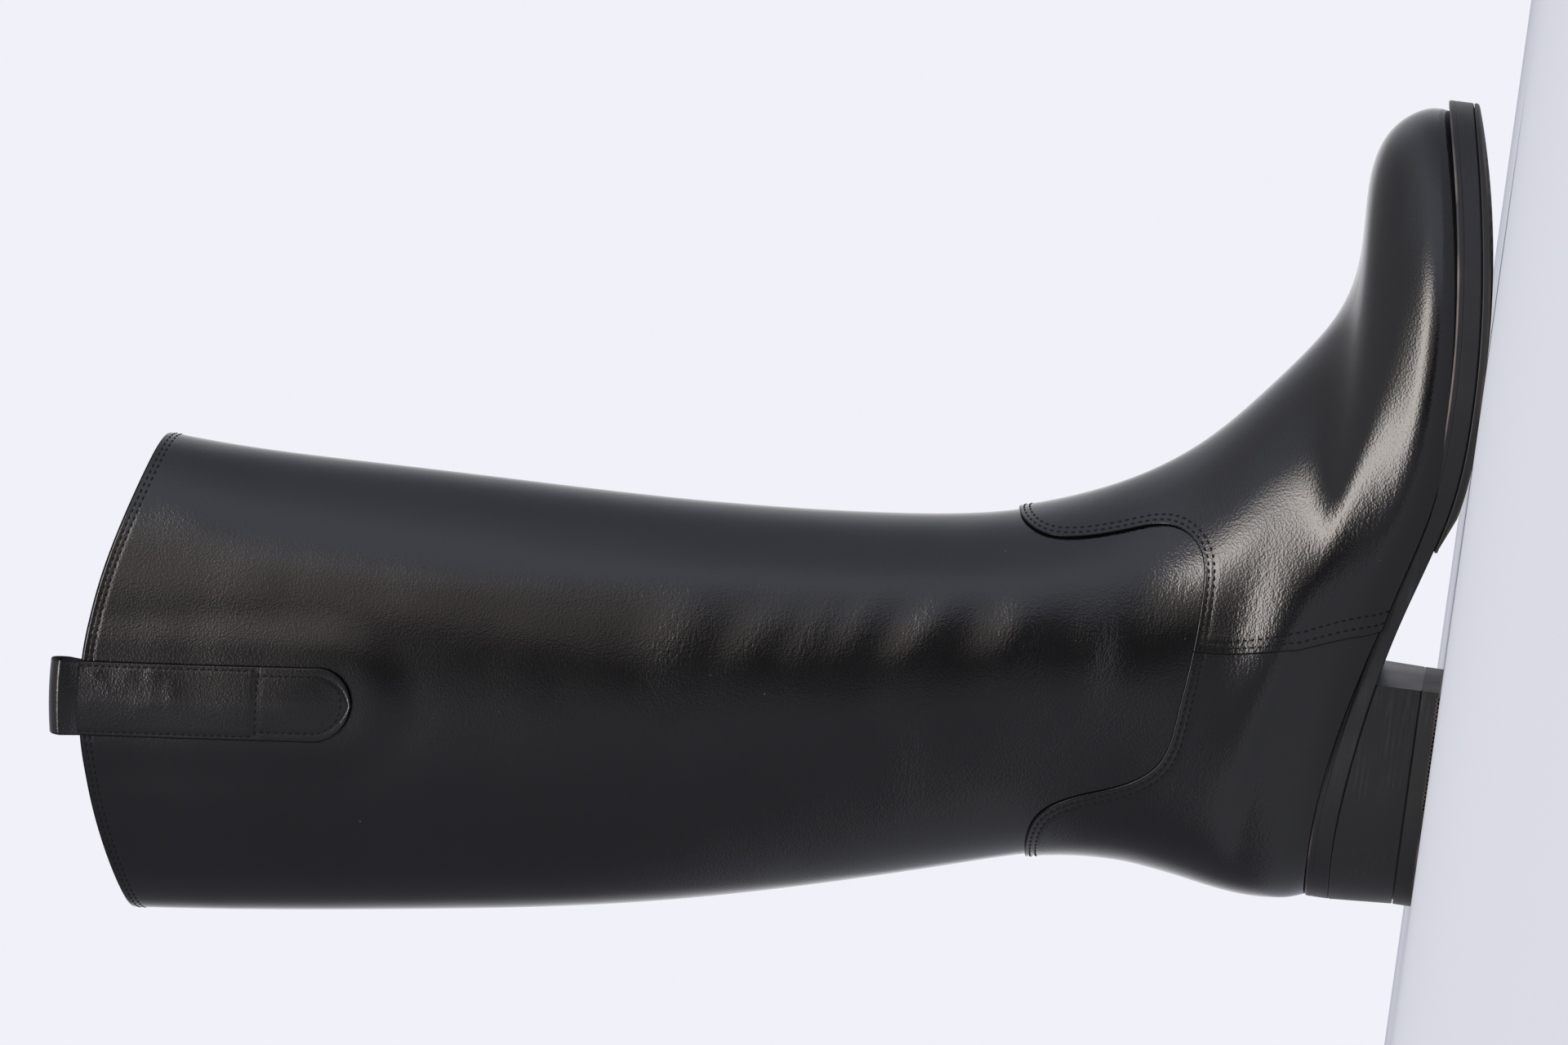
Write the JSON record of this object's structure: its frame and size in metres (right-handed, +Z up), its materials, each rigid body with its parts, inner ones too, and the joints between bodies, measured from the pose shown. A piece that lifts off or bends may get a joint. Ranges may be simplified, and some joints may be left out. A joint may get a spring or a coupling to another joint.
{
  "type": "tall riding boot",
  "caption": "Tall black leather pull-on riding boot for the right foot, with a smooth shaft, curved ankle seam, side pull strap and low block heel.",
  "frame": {"origin": "on the floor, at the centre of the heel's tread", "axes": "+X towards the toe, +Y towards the inner side of the foot, +Z up the shaft"},
  "size_m": [0.3557, 0.0966, 0.4957],
  "materials": {
    "calf_leather": "smooth black calf, semi-gloss",
    "strap_leather": "smooth black calf, slightly scuffed",
    "sole_rubber": "satin black rubber",
    "tread_rubber": "matt black rubber",
    "insole_leather": "matt dark brown"
  },
  "bodies": {
    "root": {"upper": "calf_leather", "vamp": "calf_leather", "counter": "calf_leather", "pull_strap": "strap_leather", "midsole": "sole_rubber", "outsole": "tread_rubber", "heel_block": "sole_rubber", "top_lift": "tread_rubber", "insole": "insole_leather"}
  },
  "joints": []
}
